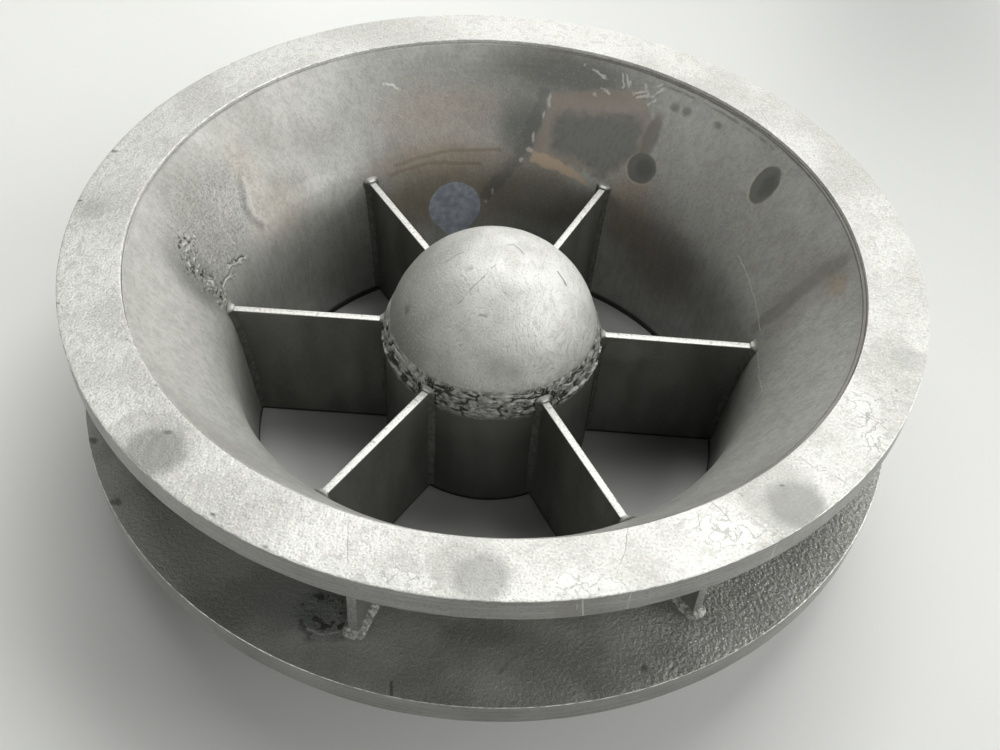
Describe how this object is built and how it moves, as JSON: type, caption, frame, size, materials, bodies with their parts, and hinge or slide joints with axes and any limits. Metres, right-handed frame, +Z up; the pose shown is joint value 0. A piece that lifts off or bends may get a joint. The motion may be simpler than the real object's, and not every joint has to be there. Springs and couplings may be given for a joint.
{
  "type": "flanged inlet bell with straight guide vanes and a domed hub",
  "caption": "Heavy steel inlet bell: a flared throat between two flat flange rings, tied by outer gussets, with straight radial guide vanes holding a domed hub on the axis.",
  "frame": {"origin": "on the axis at the lower end of the spigot, the level the piece stands on", "axes": "+Z up the axis, out of the wide mouth; +X towards the vane at the right of the picture; +Y away from the viewer"},
  "size_m": [1.01, 1.01, 0.333],
  "materials": {
    "flange_steel": "bare blasted steel, matt, with fine grain and a few ground spots",
    "bell_steel": "bare rolled plate, dull, with heat tint and pale scratches",
    "hub_steel": "bare steel, blasted, with fine scratches",
    "plate_steel": "bare steel plate, matt, brighter at the edges",
    "weld_metal": "rippled weld beads, blasted with the rest"
  },
  "bodies": {
    "root": {"top_flange": "flange_steel", "bottom_flange": "flange_steel", "bell_wall": "bell_steel", "hub_barrel": "hub_steel", "hub_dome": "hub_steel", "hub_seam_weld": "weld_metal", "top_flange_weld": "weld_metal", "bottom_flange_weld_upper": "weld_metal", "bottom_flange_weld_lower": "weld_metal", "vane_1": "plate_steel", "vane_1_hub_weld": "weld_metal", "vane_1_bell_weld": "weld_metal", "vane_2": "plate_steel", "vane_2_hub_weld": "weld_metal", "vane_2_bell_weld": "weld_metal", "vane_3": "plate_steel", "vane_3_hub_weld": "weld_metal", "vane_3_bell_weld": "weld_metal", "vane_4": "plate_steel", "vane_4_hub_weld": "weld_metal", "vane_4_bell_weld": "weld_metal", "vane_5": "plate_steel", "vane_5_hub_weld": "weld_metal", "vane_5_bell_weld": "weld_metal", "vane_6": "plate_steel", "vane_6_hub_weld": "weld_metal", "vane_6_bell_weld": "weld_metal", "gusset_1": "plate_steel", "gusset_1_foot_weld": "weld_metal", "gusset_2": "plate_steel", "gusset_2_foot_weld": "weld_metal", "gusset_3": "plate_steel", "gusset_3_foot_weld": "weld_metal", "gusset_4": "plate_steel", "gusset_4_foot_weld": "weld_metal", "gusset_5": "plate_steel", "gusset_5_foot_weld": "weld_metal", "gusset_6": "plate_steel", "gusset_6_foot_weld": "weld_metal", "gusset_7": "plate_steel", "gusset_7_foot_weld": "weld_metal", "gusset_8": "plate_steel", "gusset_8_foot_weld": "weld_metal"}
  },
  "joints": []
}
